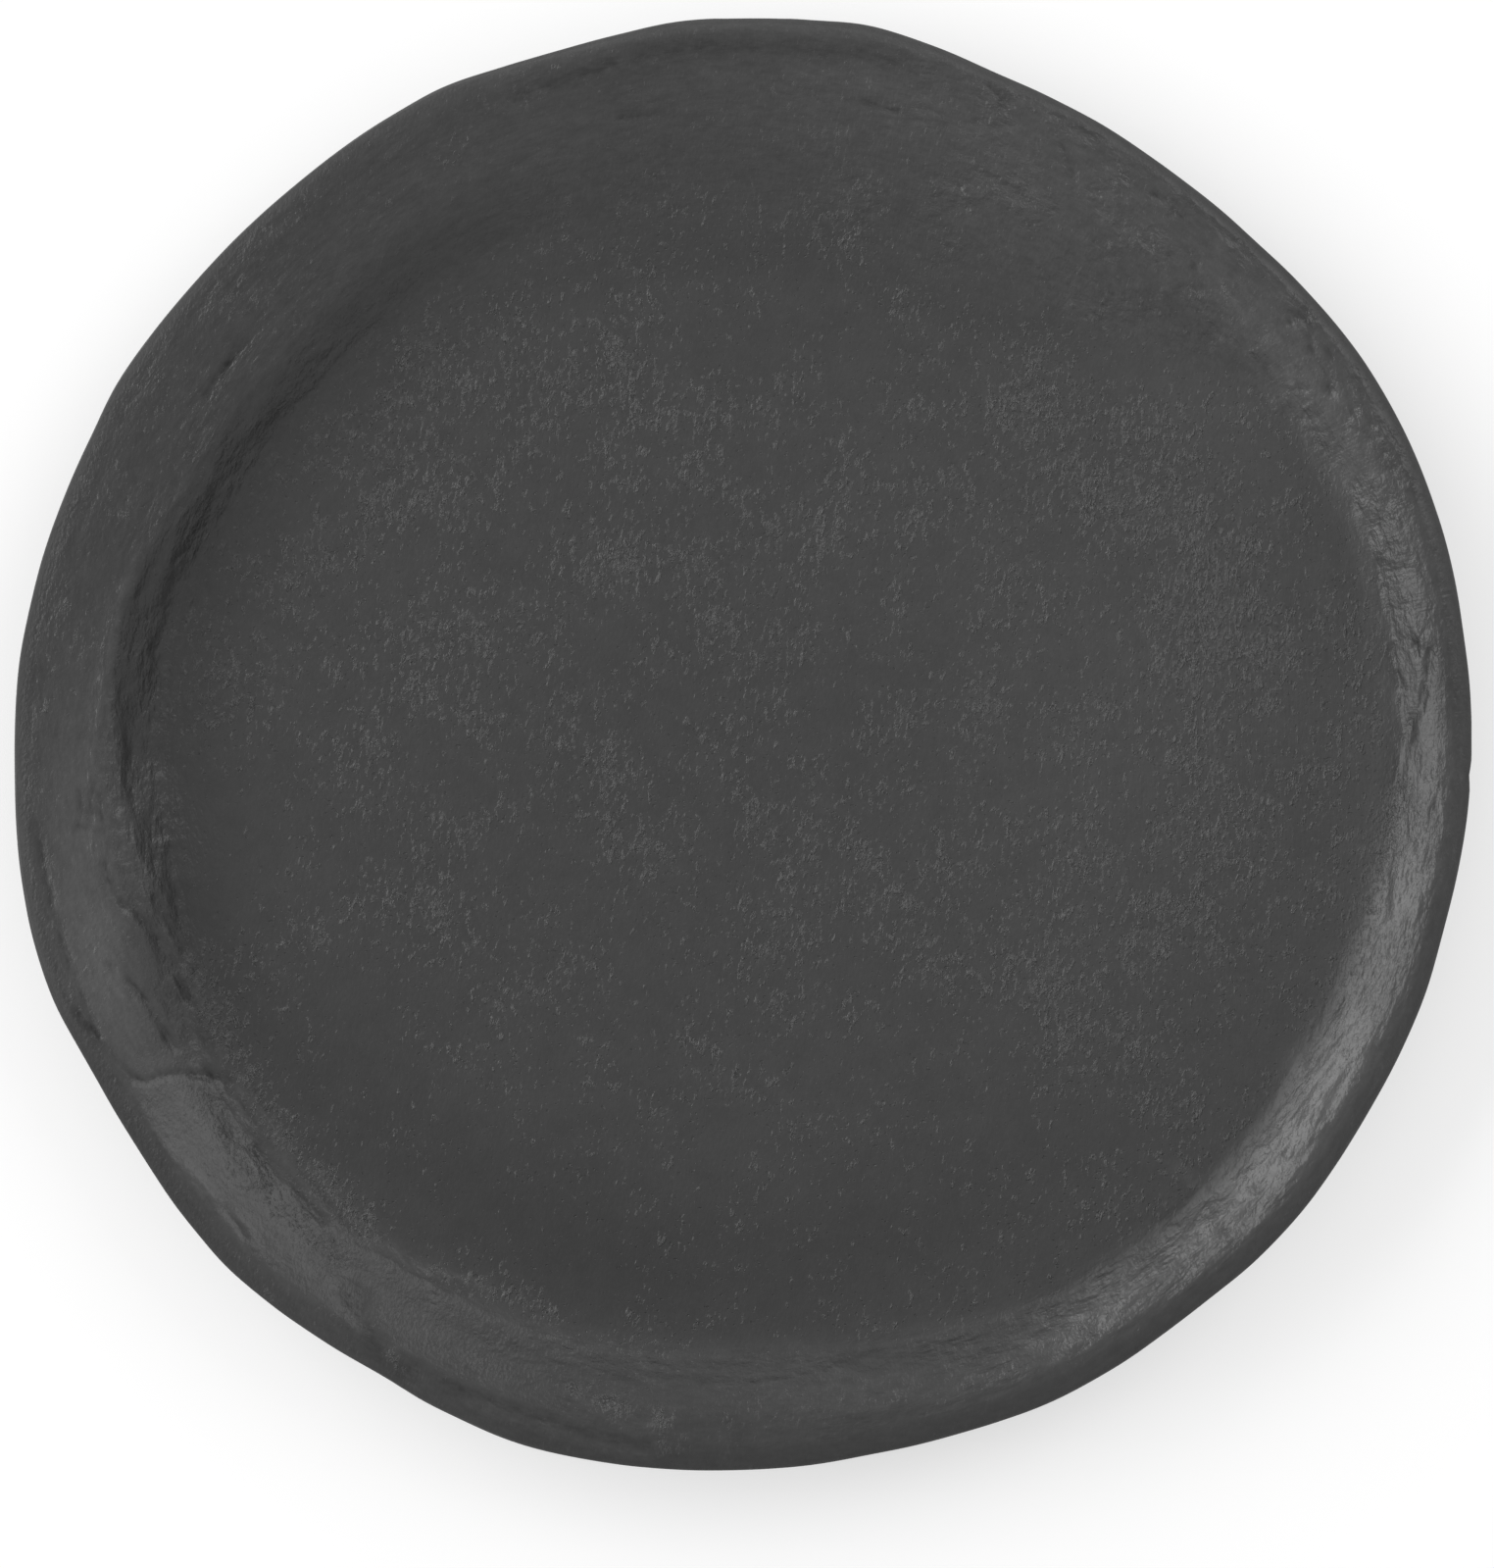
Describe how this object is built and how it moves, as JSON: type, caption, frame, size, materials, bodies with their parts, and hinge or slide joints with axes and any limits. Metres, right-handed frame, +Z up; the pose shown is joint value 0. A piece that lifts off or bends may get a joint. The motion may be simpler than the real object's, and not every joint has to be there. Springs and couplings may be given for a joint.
{
  "type": "side plate",
  "caption": "Round hand-formed stoneware side plate with a flat well, an uneven raised rim, a foot ring and a satin charcoal glaze, for bread or small dishes.",
  "frame": {"origin": "centre of the plate's outline on the plane that the foot ring stands on", "axes": "+Z up out of the well; +X to the right and +Y to the top of the plate as the picture shows its face"},
  "size_m": [0.1649, 0.1645, 0.0137],
  "materials": {
    "stoneware": "bare fired clay, matt",
    "charcoal_glaze": "satin-matt, flecked and slightly rough"
  },
  "bodies": {
    "root": {"clay_body": "stoneware", "face_glaze": "charcoal_glaze", "base_glaze": "charcoal_glaze"}
  },
  "joints": []
}
